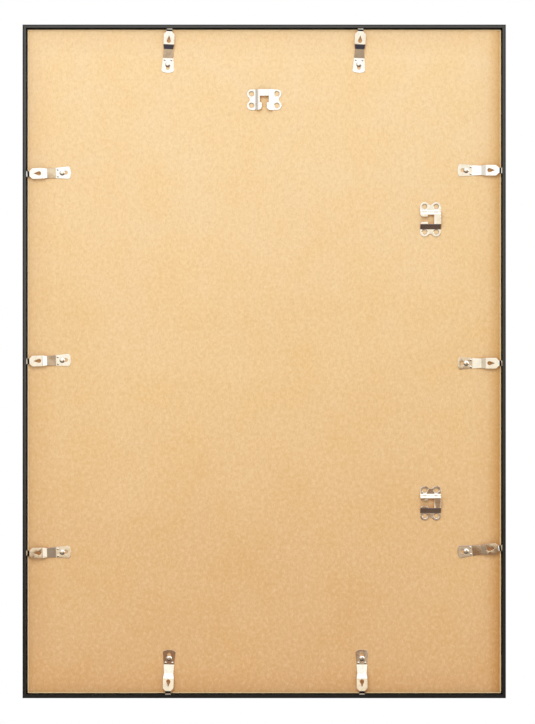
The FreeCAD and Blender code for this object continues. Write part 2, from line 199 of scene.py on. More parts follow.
boardFinish = {
    "light": (0.940, 0.710, 0.425), "middle": (0.863, 0.597, 0.313),
    "dark": (0.735, 0.434, 0.201),
    # the next share paints shade: the sheet darker toward its foot as the light falls off
    "riseShare": 0.8, "cloudShare": 0.25, "toneSpan": (0.1, 0.95),
    "cloudGrain": (5.0, 3.0, 0.5),
    "blotchGrain": (17.0, 5.0, 0.62, 0.4), "blotchSpan": (0.40, 0.66),
    "blotch": (0.99, 0.955, 0.87),
    "feltGrain": (260.0, 5.0, 0.72, 0.6), "feltSpan": (0.3, 0.7),
    "feltDark": (0.54, 0.32, 0.0, 0.17), "feltLight": (0.48, 0.70, 0.0, 0.25),
    "fibreLight": (0.99, 0.80, 0.52), "fibreDark": (0.56, 0.30, 0.10),
    "strands": ((0.5, 3.0), (2.1, 7.0)),    # how each layer is turned and shifted
    "strandStretch": (2.6, 1.0, 0.45), "hairGrain": (620.0, 2.0, 0.5, 0.9),
    "hairDark": (0.44, 0.30, 0.0, 0.16), "hairLight": (0.56, 0.70, 0.0, 0.18),
    "soilSpan": (0.030, 0.0), "soilClouds": (0.3, 0.7, 0.10, 0.20),
    "stain": (0.80, 0.62, 0.34), "stainSpan": (0.014, 0.001),       # painted shadow of the right rail, along the right side
    "stainClouds": (0.25, 0.7, 0.75, 1.0), "stainRise": (0.0, 1.0, 1.0, 0.72),
    "closeTone": (0.94, 0.52, 0.20), "closeSpan": (0.80, 0.15),     # painted contact shade beside rails and fittings
    "closeReach": 0.006, "closeSamples": 8,
    "coreTone": (0.72, 0.36, 0.105), "coreDepth": (0.00012, 0.0006),    # in holes and sawn edges
    "rough": (0.3, 0.7, 0.92, 0.72), "shine": 0.25,
    "feltRelief": (0.00035, 0.55), "fineGrain": (1400.0, 2.0), "fineRelief": (0.00008, 0.5),
}


def hardboardMaterial(finish):
    material, tree, shader = startMaterial("hardboard")
    low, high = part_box("backing_board")
    coords = objectCoords(tree)
    axes = axesOf(tree, coords)
    up = remap(tree, axes["Z"], low.z, high.z)

    # Broad tone: painted shade, darker and warmer toward the sheet's foot where the light falls
    # off, with slow clouds
    clouds = grain(tree, coords, *finish["cloudGrain"])
    falloffAndTone = calc(tree, "ADD", times(tree, up, finish["riseShare"]),
                times(tree, clouds, finish["cloudShare"]))
    stops = [(0.0, finish["dark"]), (0.5, finish["middle"]), (1.0, finish["light"])]
    colour = ramp(tree, remap(tree, falloffAndTone, *finish["toneSpan"]), stops)
    blotches = remap(tree, grain(tree, coords, *finish["blotchGrain"]), *finish["blotchSpan"])
    colour = blendColours(tree, blotches, colour, finish["blotch"], "MULTIPLY")

    # Felted fibres, then single dark and pale ones
    felt = grain(tree, coords, *finish["feltGrain"])
    dark, pale = (remap(tree, felt, *finish[key]) for key in ("feltDark", "feltLight"))
    colour = blendColours(tree, dark, colour, finish["fibreDark"])
    colour = blendColours(tree, pale, colour, finish["fibreLight"])
    for turn, shift in finish["strands"]:
        strand = addNode(tree, "ShaderNodeMapping", {
            "Vector": coords, "Rotation": (0, turn, 0), "Scale": finish["strandStretch"],
            "Location": (shift, 0, shift)})
        hair = grain(tree, strand.outputs[0], *finish["hairGrain"])
        dark, pale = (remap(tree, hair, *finish[key]) for key in ("hairDark", "hairLight"))
        colour = blendColours(tree, dark, colour, finish["fibreDark"])
        colour = blendColours(tree, pale, colour, finish["fibreLight"])

    # Darker toward the rails in slow clouds, and a painted shadow of the right rail along the
    # right side
    railwardDark = times(tree, remap(tree, insetFrom(tree, axes, low, high), *finish["soilSpan"]),
                 remap(tree, clouds, *finish["soilClouds"]))
    colour = blendColours(tree, railwardDark, colour, finish["dark"], "MULTIPLY")
    # Painted shadow of the right rail: darker and more orange along the right side, most toward
    # the foot
    rightGap = calc(tree, "SUBTRACT", high.x, axes["X"])
    stained = times(tree, remap(tree, rightGap, *finish["stainSpan"]),
                    remap(tree, clouds, *finish["stainClouds"]))
    stained = times(tree, stained, remap(tree, up, *finish["stainRise"]))
    colour = blendColours(tree, stained, colour, finish["stain"], "MULTIPLY")

    # Painted contact shade: darker and warmer where something stands close over it
    openness = addNode(tree, "ShaderNodeAmbientOcclusion", {"Distance": finish["closeReach"]},
                       samples=finish["closeSamples"]).outputs["AO"]
    contactShade = remap(tree, openness, *finish["closeSpan"])
    colour = blendColours(tree, contactShade, colour, finish["closeTone"], "MULTIPLY")

    # The core shows below the face: holes, sockets and the sawn edge
    depth = remap(tree, axes["Y"], *finish["coreDepth"])
    core = blendColours(tree, remap(tree, felt, *finish["feltSpan"]),
                        finish["fibreDark"], finish["coreTone"])
    relief = bump(tree, felt, *finish["feltRelief"])
    fine = grain(tree, coords, *finish["fineGrain"])
    fill(tree, shader, {
        "Base Color": blendColours(tree, depth, colour, core),
        "Roughness": remap(tree, felt, *finish["rough"]),
        "Normal": bump(tree, fine, *finish["fineRelief"], relief),
        "Specular IOR Level": finish["shine"],
    })
    return material


# Rails: black, satin, with faint draw lines along their length

railFinish = {
    "black": (0.006, 0.006, 0.0065), "rubbed": (0.040, 0.040, 0.041),
    "lineGrain": (900.0, 3.0, 0.6), "lineStretch": 0.012,
    "lineTone": (0.35, 0.7, 0.0, 0.30), "lineRelief": (0.00004, 0.6),
    "patchGrain": (38.0, 5.0, 0.6), "scuffGrain": (420.0, 6.0, 0.75, 1.2),
    "scuffSpan": (0.60, 0.74), "patchSpan": (0.46, 0.66), "rubTone": 0.7, "rubRough": 0.2,
    "crownRise": (0.0010, 0.0015), "crownFall": (0.0036, 0.0034),   # in from the outer edge
    "crownDepth": (0.001, 0.0004), "crownPatches": (0.3, 0.7, 0.8, 1.0),
    "dullFoot": 0.25, "dullReach": 0.40,    # less shine toward the foot, a painted shade on the bottom rail
    "sheen": (0.0, 1.0, 0.16, 0.95), "rough": (0.3, 0.7, 0.15, 0.25),
    "fineGrain": (2600.0, 2.0), "fineRelief": (0.000012, 0.6),
}


def railMaterial(name, finish, lengthAxis):
    material, tree, shader = startMaterial(name)
    stretch = [1.0, 1.0, 1.0]
    stretch[lengthAxis] = finish["lineStretch"]
    lines = grain(tree, objectCoords(tree, stretch), *finish["lineGrain"])
    coords = objectCoords(tree)
    patches = grain(tree, coords, *finish["patchGrain"])
    scuffs = grain(tree, coords, *finish["scuffGrain"])
    rubbed = times(tree, remap(tree, scuffs, *finish["scuffSpan"]),
                   remap(tree, patches, *finish["patchSpan"]))

    # The back lip's flat is polished by handling and shines more than the rest
    axes = axesOf(tree, coords)
    inset = insetFrom(tree, axes, cadLow, cadHigh)
    crown = times(tree, remap(tree, inset, *finish["crownRise"]),
                  remap(tree, inset, *finish["crownFall"]))
    deep, shallow = finish["crownDepth"]
    crown = times(tree, crown, remap(tree, axes["Y"], cadLow.y + deep, cadLow.y + shallow))
    crown = times(tree, crown, remap(tree, patches, *finish["crownPatches"]))
    # Less shine toward the foot: a painted shade that darkens the bottom rail
    footShadeEnd = cadLow.z + finish["dullReach"]
    footShade = remap(tree, axes["Z"], cadLow.z, footShadeEnd, finish["dullFoot"], 1.0)
    crown = times(tree, crown, footShade)

    lined = remap(tree, lines, *finish["lineTone"])
    colour = blendColours(tree, lined, finish["black"], finish["rubbed"])
    rubShare = times(tree, rubbed, finish["rubTone"])
    relief = bump(tree, lines, *finish["lineRelief"])
    fine = grain(tree, coords, *finish["fineGrain"])
    fill(tree, shader, {
        "Base Color": blendColours(tree, rubShare, colour, finish["rubbed"]),
        "Roughness": calc(tree, "ADD", remap(tree, patches, *finish["rough"]),
                          times(tree, rubbed, finish["rubRough"])),
        "Specular IOR Level": remap(tree, crown, *finish["sheen"]),
        "Normal": bump(tree, fine, *finish["fineRelief"], relief),
    })
    return material


# Bright nickel on rolled steel strip

platingFinish = {
    "bright": (0.88, 0.865, 0.835), "cloudy": (0.76, 0.735, 0.69), "stained": (0.46, 0.43, 0.38),
    "cloudGrain": (170.0, 4.0, 0.6), "cloudSpan": (0.45, 0.72, 0.0, 0.8),
    "speckGrain": (1500.0, 5.0, 0.8, 0.4), "speckSpan": (0.68, 0.78),
    "speckTone": 0.55, "speckRough": 0.2, "rough": (0.3, 0.75, 0.03, 0.085),
    "waveGrain": (130.0, 2.0), "waveRelief": (0.00005, 0.5),
    "fineGrain": (2400.0, 3.0, 0.6), "fineRelief": (0.000006, 0.6),
}


def platingMaterial(finish):
    material, tree, shader = startMaterial("nickelPlate")
    coords = objectCoords(tree)
    clouds, fine, specks, waves = (
        grain(tree, coords, *finish[key])
        for key in ("cloudGrain", "fineGrain", "speckGrain", "waveGrain"))
    stained = remap(tree, specks, *finish["speckSpan"])
    clouded = remap(tree, clouds, *finish["cloudSpan"])
    colour = blendColours(tree, clouded, finish["bright"], finish["cloudy"])
    stainShare = times(tree, stained, finish["speckTone"])
    relief = bump(tree, waves, *finish["waveRelief"])
    fill(tree, shader, {
        "Base Color": blendColours(tree, stainShare, colour, finish["stained"]),
        "Roughness": calc(tree, "ADD", remap(tree, clouds, *finish["rough"]),
                          times(tree, stained, finish["speckRough"])),
        "Normal": bump(tree, fine, *finish["fineRelief"], relief),
        "Metallic": 1.0,
    })
    return material


# Zinc-plated keys, the plain insert sheet and the glazing

zincFinish = {
    "stretch": (1.0, 1.0, 0.2), "streakGrain": (900.0, 4.0, 0.6),
    "tones": [(0.3, (0.42, 0.43, 0.44)), (0.7, (0.66, 0.67, 0.68))],
    "rough": (0.3, 0.7, 0.30, 0.48), "relief": (0.00002, 0.6),
}

paperFinish = {
    "pulpGrain": (700.0, 5.0, 0.7, 0.5), "cloudGrain": (14.0, 3.0, 0.5),
    "tones": [(0.25, (0.80, 0.79, 0.755)), (0.7, (0.90, 0.895, 0.87))],
    "cloudSpan": (0.35, 0.7, 0.0, 0.25), "cloudy": (0.86, 0.845, 0.80),
    "rough": 0.85, "relief": (0.00006, 0.5),
}

glazingFinish = {
    "tint": (0.90, 0.955, 0.93), "smeared": (0.86, 0.90, 0.885),
    "smearGrain": (9.0, 4.0, 0.6, 1.5), "smearSpan": (0.4, 0.8),
    "rough": (0.4, 0.75, 0.02, 0.09), "bending": 1.52, "shine": 1.0,
    "solidity": 0.14,       # the rest is clear
}


def zincMaterial(finish):
    material, tree, shader = startMaterial("zincPlate")
    streaks = grain(tree, objectCoords(tree, finish["stretch"]), *finish["streakGrain"])
    fill(tree, shader, {
        "Base Color": ramp(tree, streaks, finish["tones"]),
        "Roughness": remap(tree, streaks, *finish["rough"]),
        "Normal": bump(tree, streaks, *finish["relief"]),
        "Metallic": 1.0,
    })
    return material


def paperMaterial(finish):
    material, tree, shader = startMaterial("insertPaper")
    coords = objectCoords(tree)
    pulp = grain(tree, coords, *finish["pulpGrain"])
    clouds = remap(tree, grain(tree, coords, *finish["cloudGrain"]), *finish["cloudSpan"])
    colour = ramp(tree, pulp, finish["tones"])
    fill(tree, shader, {
        "Base Color": blendColours(tree, clouds, colour, finish["cloudy"]),
        "Roughness": finish["rough"],
        "Normal": bump(tree, pulp, *finish["relief"]),
    })
    return material


def glazingMaterial(finish):
    material, tree, shader = startMaterial("clearGlazing")
    smears = grain(tree, objectCoords(tree), *finish["smearGrain"])
    smeared = remap(tree, smears, *finish["smearSpan"])
    fill(tree, shader, {
        "Base Color": blendColours(tree, smeared, finish["tint"], finish["smeared"]),
        "Roughness": remap(tree, smears, *finish["rough"]),
        "IOR": finish["bending"],
        "Specular IOR Level": finish["shine"],
        "Alpha": finish["solidity"],
    })
    return material


hardboard = hardboardMaterial(boardFinish)
railUpright = railMaterial("satinBlackUpright", railFinish, 2)
railLevel = railMaterial("satinBlackLevel", railFinish, 0)
nickel = platingMaterial(platingFinish)
zinc = zincMaterial(zincFinish)
paper = paperMaterial(paperFinish)
glazing = glazingMaterial(glazingFinish)
print("materials made")

looks = [   # the first start that fits a node's name counts
    ("rail_left", railUpright), ("rail_right", railUpright), ("rail_", railLevel),
    ("corner_key", zinc), ("backing_board", hardboard), ("paper_insert", paper),
    ("glazing_sheet", glazing), ("", nickel),
]


def dress(mesh, material):
    if not mesh.materials:
        mesh.materials.append(material)
    for index in range(len(mesh.materials)):
        mesh.materials[index] = material


for nodeName in nodes:
    dress(nodes[nodeName].data,
          next(material for start, material in looks if nodeName.startswith(start)))


# Pieces made here: from a bmesh to an object in the scene

def makePiece(solid, name, material, moves=(), sharpAngle=None):
    mesh = bpy.data.meshes.new(name)
    solid.to_mesh(mesh)
    solid.free()
    for move in moves:
        mesh.transform(move)
    mesh.polygons.foreach_set("use_smooth", [True] * len(mesh.polygons))
    if sharpAngle is not None:
        mesh.set_sharp_from_angle(angle=math.radians(sharpAngle))
    mesh.materials.append(material)
    piece = bpy.data.objects.new(name, mesh)
    scene.collection.objects.link(piece)
    return piece


# Stamped and bent sheet: an outline with holes, bent along its length

sheetMaking = {
    "cutMargin": 0.004,     # cuts this close to a point go through it
    "arris": 40.0, "arrisSegments": 3,      # edges sharper than this are eased
    "sharpAngle": 35.0,
}


def arcPoints(centre, radius, start, end, steps):
    points = []
    for step in range(steps + 1):
        angle = math.radians(start + (end - start) * step / steps)
        points.append((centre[0] + radius * math.cos(angle), centre[1] + radius * math.sin(angle)))
    return points


def cornerRound(before, corner, after, radius, steps):
    # Points of the arc that rounds a corner
    toBefore = (Vector(before) - Vector(corner)).normalized()
    toAfter = (Vector(after) - Vector(corner)).normalized()
    half = toBefore.angle(toAfter) / 2
    centre = Vector(corner) + (toBefore + toAfter).normalized() * (radius / math.sin(half))
    first = Vector(corner) + toBefore * (radius / math.tan(half)) - centre
    last = Vector(corner) + toAfter * (radius / math.tan(half)) - centre
    turn = first.angle_signed(last)
    points = []
    for step in range(steps + 1):
        arm = first.copy()
        arm.rotate(Matrix.Rotation(-turn * step / steps, 2))
        points.append(tuple(centre + arm))
    return points


def bentPath(corners, bends, steps):
    # (along, height, tilt) down the middle of the sheet
    samples = [(corners[0][0], corners[0][1], 0.0)]
    heading = 0.0
    for before, corner, after, bend in zip(corners, corners[1:], corners[2:], bends):
        first = math.atan2(corner[1] - before[1], corner[0] - before[0])
        heading = math.atan2(after[1] - corner[1], after[0] - corner[0])
        turn = heading - first
        side = math.copysign(1, turn)
        tangent = bend * math.tan(abs(turn) / 2)
        centreAlong = corner[0] - math.cos(first) * tangent - math.sin(first) * side * bend
        centreHeight = corner[1] - math.sin(first) * tangent + math.cos(first) * side * bend
        for step in range(steps + 1):
            tilt = first + turn * step / steps
            samples.append((centreAlong + math.sin(tilt) * side * bend,
                            centreHeight - math.cos(tilt) * side * bend, tilt))
    samples.append((corners[-1][0], corners[-1][1], heading))
    return samples


def onPath(samples, along):
    # Height and tilt there; the two end stretches run on past their ends
    tiny = 1e-9
    for (a0, h0, t0), (a1, h1, t1) in zip(samples, samples[1:]):
        if along <= a1 or (a1, h1, t1) == samples[-1]:
            share = (along - a0) / max(a1 - a0, tiny)
            if a0 != samples[0][0] and a1 != samples[-1][0]:
                share = min(max(share, 0.0), 1.0)
            return h0 + (h1 - h0) * share, t0 + (t1 - t0) * share


def stampedSheet(loops, samples, thickness, edgeRound):
    flat = bmesh.new()
    for loop in loops:
        ring = [flat.verts.new((along, across, 0)) for along, across in loop]
        for first, second in zip(ring, ring[1:] + ring[:1]):
            flat.edges.new((first, second))
    bmesh.ops.triangle_fill(flat, edges=flat.edges[:], use_beauty=True)
    for along, height, tilt in samples[1:-1]:
        everything = flat.verts[:] + flat.edges[:] + flat.faces[:]
        bmesh.ops.bisect_plane(flat, geom=everything, dist=sheetMaking["cutMargin"],
                               plane_co=(along, 0, 0), plane_no=(1, 0, 0))
    for face in flat.faces:
        face.normal_update()
        if face.normal.z < 0:
            face.normal_flip()
    solid = bmesh.new()
    upper, lower = {}, {}
    for vert in flat.verts:
        height, tilt = onPath(samples, vert.co.x)
        lift = Vector((-math.sin(tilt), 0, math.cos(tilt))) * thickness / 2
        middle = Vector((vert.co.x, vert.co.y, height))
        upper[vert] = solid.verts.new(middle + lift)
        lower[vert] = solid.verts.new(middle - lift)
    for face in flat.faces:
        solid.faces.new([upper[vert] for vert in face.verts])
        solid.faces.new([lower[vert] for vert in reversed(face.verts)])
        for loop in face.loops:
            if len(loop.edge.link_faces) == 1:
                start, end = loop.vert, loop.link_loop_next.vert
                solid.faces.new([lower[start], lower[end], upper[end], upper[start]])
    flat.free()
    solid.normal_update()
    arris = math.radians(sheetMaking["arris"])
    sharp = [edge for edge in solid.edges if edge.calc_face_angle(0) > arris]
    bmesh.ops.bevel(solid, geom=sharp, offset=edgeRound, segments=sheetMaking["arrisSegments"],
                    profile=0.5, affect="EDGES", clamp_overlap=False)
    return solid


def latheInto(solid, profile, place, segments):
    # Spins a (radius, height) profile about an upright line through place
    rings = []
    for radius, height in profile:
        if radius < 1e-6:
            rings.append([solid.verts.new((place[0], place[1], height))])
            continue
        around = arcPoints(place, radius, 0, 360, segments)[:-1]
        rings.append([solid.verts.new((*point, height)) for point in around])
    for first, second in zip(rings, rings[1:]):
        for number in range(segments):
            after = (number + 1) % segments
            corners = [first[number % len(first)], first[after % len(first)],
                       second[after % len(second)], second[number % len(second)]]
            solid.faces.new(list(dict.fromkeys(corners)))


def finishPiece(solid, name, place, alongDirection, body, material, replaced):
    # Sizes come in millimetres: x along, y across, z off the board's back face
    along = Vector(alongDirection).normalized()
    off = Vector((0, -1, 0))
    across = off.cross(along)
    matrix = Matrix((along, across, off)).transposed().to_4x4()
    matrix.translation = place
    moves = (Matrix.Scale(mm, 4), matrix)
    piece = makePiece(solid, name, material, moves, sheetMaking["sharpAngle"])
    weighted = piece.modifiers.new("weightedNormals", "WEIGHTED_NORMAL")
    weighted.keep_sharp = True
    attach(piece, body)
    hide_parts(replaced)


def camelName(text):
    first, *others = text.split("_")
    return first + "".join(word.capitalize() for word in others)


# Spring clips

clipShape = {
    "sheet": 0.6, "edgeRound": 0.17, "bendSteps": 5,
    "runs": [15.6, 9.4, 4.6, 13.5, 2.4, 3.2],        # foot, ramp, step, head, fall, tongue
    "rises": [0.0, 0.0, 1.5, 3.5, 4.25, 1.3, 1.3],
    "bends": [2.4, 2.0, 2.0, 0.7, 0.6],
    "pivotFromEnd": 9.0,
    "halfWidths": {"foot": 6.7, "root": 5.6, "waist": 4.95, "head": 5.7, "tongue": 2.95},
    "endSag": 1.1, "cornerLength": 1.2, "cornerWidth": 0.9,
    "shoulder": 2.9, "shoulderRound": 1.8, "tongueChamfer": 0.6,
    "pivotHole": 1.6,
    "dropFromHead": 4.4, "dropLength": 7.6, "dropWidth": 4.2,
    "eyeFromEnd": 3.3, "eyeLength": 3.2, "eyeWidth": 3.8,
    "steps": {"shoulder": 6, "end": 16, "hole": 28, "drop": 22, "eye": 14},
    "pipFromEnd": 13.7, "pipSpread": 7.2, "pipSegments": 20,
    "pipProfile": [(1.25, 0.585), (1.08, 0.62), (0.92, 0.70), (0.76, 0.82), (0.56, 0.92),
                   (0.30, 0.98), (0.0, 1.0)],
    "tipShare": 0.985,      # what lies farther out than this share of the reach is the tip
}


def clipLoops(shape):
    half, steps = shape["halfWidths"], shape["steps"]
    stops = [0.0]
    for run in shape["runs"]:
        stops.append(stops[-1] + run)
    shift = shape["pivotFromEnd"]
    headEnd = stops[4]
    cornerEnd = shape["endSag"] + shape["cornerLength"]
    cornerHalf = half["foot"] - shape["cornerWidth"]
    sag = shape["endSag"]
    endRadius = (cornerHalf ** 2 + sag ** 2) / (2 * sag)
    spread = math.degrees(math.asin(cornerHalf / endRadius))
    oneSide = [(cornerEnd, half["foot"]), (stops[1], half["root"]),
               (stops[2], half["waist"]), (stops[3], half["head"])]
    shoulder = (headEnd - shape["shoulder"], half["head"])
    oneSide += cornerRound(oneSide[-1], shoulder, (headEnd, half["tongue"]),
                           shape["shoulderRound"], steps["shoulder"])
    chamfer = shape["tongueChamfer"]
    oneSide += [(headEnd, half["tongue"]), (stops[-1] - chamfer, half["tongue"]),
                (stops[-1], half["tongue"] - chamfer)]
    nose = arcPoints((endRadius, 0), endRadius, 180 + spread, 180 - spread, steps["end"])
    outline = nose + oneSide + [(along, -across) for along, across in reversed(oneSide)]
    hole = arcPoints((shift, 0), shape["pivotHole"], 0, 360, steps["hole"])[:-1]
    radius = shape["dropWidth"] / 2
    tip = headEnd - shape["dropFromHead"]
    centre = tip - shape["dropLength"] + radius
    touch = math.degrees(math.acos(radius / (tip - centre)))
    drop = arcPoints((centre, 0), radius, touch, 360 - touch, steps["drop"]) + [(tip, 0)]
    low, long, wide = shape["eyeFromEnd"], shape["eyeLength"], shape["eyeWidth"] / 2
    eye = arcPoints((low + wide, 0), wide, 90, 270, steps["eye"])
    eye += [(low + long, -wide), (low + long, wide)]
    return [[(along - shift, across) for along, across in loop]
            for loop in (outline, hole, drop, eye)]


def clipPath(shape):
    along, corners = -shape["pivotFromEnd"], []
    for run, rise in zip([0.0] + shape["runs"], shape["rises"]):
        along += run
        corners.append((along, rise + shape["sheet"] / 2))
    return bentPath(corners, shape["bends"], shape["bendSteps"])


def leanOf(nodeName, pivot):
    # The clip's own direction, from the tongue's tip in the frame
    spots = [vert.co - pivot for vert in nodes[nodeName].data.vertices]
    reach = max(math.hypot(spot.x, spot.z) for spot in spots)
    nearTip = reach * clipShape["tipShare"]
    tips = [spot for spot in spots if math.hypot(spot.x, spot.z) > nearTip]
    total = Vector((sum(spot.x for spot in tips), 0, sum(spot.z for spot in tips)))
    return total.normalized()


def makeClip(joint, shape):
    nodeName = joint["child"]
    pivot = Vector(joint["pos_m"])
    solid = stampedSheet(clipLoops(shape), clipPath(shape), shape["sheet"], shape["edgeRound"])
    pipAlong = shape["pipFromEnd"] - shape["pivotFromEnd"]
    for side in (-0.5, 0.5):
        pipPlace = (pipAlong, side * shape["pipSpread"])
        latheInto(solid, shape["pipProfile"], pipPlace, shape["pipSegments"])
    lean = leanOf(nodeName, pivot)
    finishPiece(solid, camelName(nodeName), pivot, lean, nodeName, nickel, nodeName)


# Rivets: a smooth dome over the clip's foot, with the shank through the board

rivetShape = {
    "headRadius": 2.9, "headHeight": 1.35, "rim": 0.35, "underHead": 0.65, "shankRadius": 1.5,
    "rimIn": 0.12, "rimUp": 0.10, "rimTopEase": 0.06,
    "reach": 2.99, "segments": 36,
    "domeSteps": 14, "domeInset": 0.995, "crowding": 0.6, "flatness": 3.0,
}


def makeRivet(joint, shape):
    head, under, shank = shape["headRadius"], shape["underHead"], shape["shankRadius"]
    dome = shape["headHeight"] - shape["rim"]
    rimTop = under + shape["rim"]
    profile = [(0.0, -shape["reach"]), (shank, -shape["reach"]), (shank, under),
               (head - shape["rimIn"], under), (head, under + shape["rimUp"]),
               (head, rimTop - shape["rimTopEase"])]
    for step in range(shape["domeSteps"]):
        share = math.cos(math.pi / 2 * step / shape["domeSteps"]) ** shape["crowding"]
        height = rimTop + dome * (1 - share ** shape["flatness"]) ** 0.5
        profile.append((head * share * shape["domeInset"], height))
    profile.append((0.0, rimTop + dome))
    solid = bmesh.new()
    latheInto(solid, profile, (0.0, 0.0), shape["segments"])
    pivot = Vector(joint["pos_m"])
    nodeName = joint["child"].replace("clip_", "rivet_")
    name = camelName(nodeName)
    finishPiece(solid, name, pivot, (0, 0, 1), "frame", nickel, nodeName)


for joint in frame["joints"]:
    makeClip(joint, clipShape)
    makeRivet(joint, rivetShape)


# Hangers: a pressed plate with a raised middle, eyeleted into the board

hangerShape = {
    "sheet": 0.8, "edgeRound": 0.24, "bendSteps": 7, "lift": 3.2,
    "pitchAlong": 26.8, "pitchAcross": 12.2, "lobe": 4.9, "notch": 2.9,
    "ear": 8.2, "slope": 4.9, "slopeBend": 1.2,      # the gentle side
    "wallFromMiddle": 7.7, "wallRun": 1.6, "wallBend": 2.3,
    "windowRise": 3.7, "windowWide": 9.4, "windowTall": 6.5,
    "slot": 5.2, "prong": 0.6, "mouthRound": 3.2,
    "steps": {"mouth": 7, "lobe": 14, "notch": 8, "eyelet": 32},
    "eyeletInner": 2.35, "eyeletOuter": 2.9, "eyeletDepth": 1.75,
    "lipProud": 0.015, "lipSteps": 5, "lipSkirt": [(0.10, -0.10), (0.08, 0.015)],
    "barrelFoot": 0.4, "barrelTop": 0.45,       # the barrel's back, out from its bore
}


def hangerLoops(shape):
    # Along runs from the gentle side to the steep one, and across runs down to the mouth
    lobeAlong, lobeAcross = shape["pitchAlong"] / 2, shape["pitchAcross"] / 2
    lobe, steps = shape["lobe"], shape["steps"]
    reach = lobe - shape["notch"]
    notch = (reach ** 2 + lobeAcross ** 2 - lobe ** 2) / (2 * (lobe - reach))
    meet = math.degrees(math.atan2(lobeAcross, reach + notch))
    half = lobeAcross + lobe
    slot, window = shape["slot"] / 2, shape["windowWide"] / 2
    rise, prong, mouth = shape["windowRise"], shape["prong"], shape["mouthRound"]
    low = shape["windowTall"] - rise
    side = [(window, -rise), (window, low), (slot + prong, low), (slot, low + prong),
            (slot, half - mouth)]
    side += arcPoints((slot + mouth, half - mouth), mouth, 180, 90, steps["mouth"])[1:]
    side += arcPoints((lobeAlong, lobeAcross), lobe, 90, -meet, steps["lobe"])
    notchCentre = (lobeAlong + reach + notch, 0)
    side += arcPoints(notchCentre, notch, 180 - meet, 180 + meet, steps["notch"])[1:-1]
    side += arcPoints((lobeAlong, -lobeAcross), lobe, meet, -90, steps["lobe"])
    outline = side + [(-along, across) for along, across in reversed(side)]
    holes = []
    for along in (-lobeAlong, lobeAlong):
        for across in (-lobeAcross, lobeAcross):
            rim = arcPoints((along, across), shape["eyeletOuter"], 0, 360, steps["eyelet"])
            holes.append(rim[:-1])
    return [outline] + holes


def hangerPath(shape):
    middle = shape["sheet"] / 2
    half = shape["pitchAlong"] / 2 + shape["lobe"]
    foot = half - shape["ear"]
    crest = foot - shape["slope"]
    wallCrest = shape["wallFromMiddle"] - shape["wallRun"] / 2
    top = shape["lift"] + middle
    corners = [(-half, middle), (-foot, middle), (-crest, top), (wallCrest, top),
               (wallCrest + shape["wallRun"], middle), (half, middle)]
    bends = [shape["slopeBend"], shape["slopeBend"], shape["wallBend"], shape["wallBend"]]
    return bentPath(corners, bends, shape["bendSteps"])


def eyeletProfile(shape):
    # From the plate's face, over a rolled lip and down into the board
    inner, outer, top = shape["eyeletInner"], shape["eyeletOuter"], shape["sheet"]
    roll, depth = outer - inner, shape["eyeletDepth"]
    profile = [(outer + out, top + up) for out, up in shape["lipSkirt"]]
    for step in range(shape["lipSteps"] + 1):
        angle = math.radians(90 - 90 / shape["lipSteps"] * step)
        profile.append((outer - roll * math.cos(angle),
                        top - roll * (1 - math.sin(angle)) + shape["lipProud"]))
    profile += [(inner, -depth), (inner + shape["barrelFoot"], -depth),
                (inner + shape["barrelTop"], 0.0)]
    return profile


def makeHanger(nodeName, alongDirection, shape):
    low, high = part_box(nodeName)
    middle = (low + high) / 2
    middle.y = 0
    loops, path = hangerLoops(shape), hangerPath(shape)
    solid = stampedSheet(loops, path, shape["sheet"], shape["edgeRound"])
    for along in (-0.5, 0.5):
        for across in (-0.5, 0.5):
            place = (along * shape["pitchAlong"], across * shape["pitchAcross"])
            latheInto(solid, eyeletProfile(shape), place, shape["steps"]["eyelet"])
    name = camelName(nodeName)
    finishPiece(solid, name, middle, alongDirection, "frame", nickel, nodeName)


makeHanger("hanger_top", (-1, 0, 0), hangerShape)
makeHanger("hanger_right_upper", (0, 0, 1), hangerShape)
makeHanger("hanger_right_lower", (0, 0, 1), hangerShape)
print("hangers made")


# Glazing: stands a hair off the insert, with its cut edges eased

glazingShape = {"gap": 0.05, "eased": 0.3, "segments": 2, "sharpAngle": 20.0}


def makeGlazing(shape):
    low, high = (Vector(corner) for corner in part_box("glazing_sheet"))
    low.y += shape["gap"] * mm
    solid = bmesh.new()
    bmesh.ops.create_cube(solid, size=1.0)
    for vert in solid.verts:
        vert.co = [first + (last - first) * (part + 0.5)
                   for first, last, part in zip(low, high, vert.co)]
    bmesh.ops.bevel(solid, geom=solid.edges[:], offset=shape["eased"] * mm,
                    segments=shape["segments"], profile=0.5, affect="EDGES")
    piece = makePiece(solid, "glazingSheet", glazing, sharpAngle=shape["sharpAngle"])
    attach(piece, "frame")
    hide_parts("glazing_sheet")


makeGlazing(glazingShape)
print("glazing made")


# The board's sawn back edge: a pale, slightly ragged arris all round, pale partly from the cut
# fibre and partly as a painted highlight

arrisShape = {
    "wide": 0.95, "proud": 0.12, "step": 1.6,
    "burr": [0.5, 0.5, 0.35, 0.0],      # fibres beyond the cut: at the foot, right, top and left
    "under": 0.6,                       # where the burr meets the board's side again
    "ragged": 0.12, "proudFray": 0.4, "burrFray": 0.5,
    "frayScale": 900, "sideShift": 5.0,     # the noise that frays it, and its shift per side
}

arrisFinish = {
    "fibreGrain": (900.0, 4.0, 0.7), "rough": 0.9, "relief": (0.0002, 0.5),
    # The cut fibre's pale tones, pushed paler still as a painted highlight along the lit edge
    "tones": [(0.30, (0.88, 0.54, 0.23)), (0.52, (0.99, 0.73, 0.39)), (0.75, (1.0, 0.86, 0.56))],
}


def arrisMaterial(finish):
    material, tree, shader = startMaterial("sawnArris")
    fibres = grain(tree, objectCoords(tree), *finish["fibreGrain"])
    fill(tree, shader, {
        "Base Color": ramp(tree, fibres, finish["tones"]),
        "Roughness": finish["rough"],
        "Normal": bump(tree, fibres, *finish["relief"]),
    })
    return material


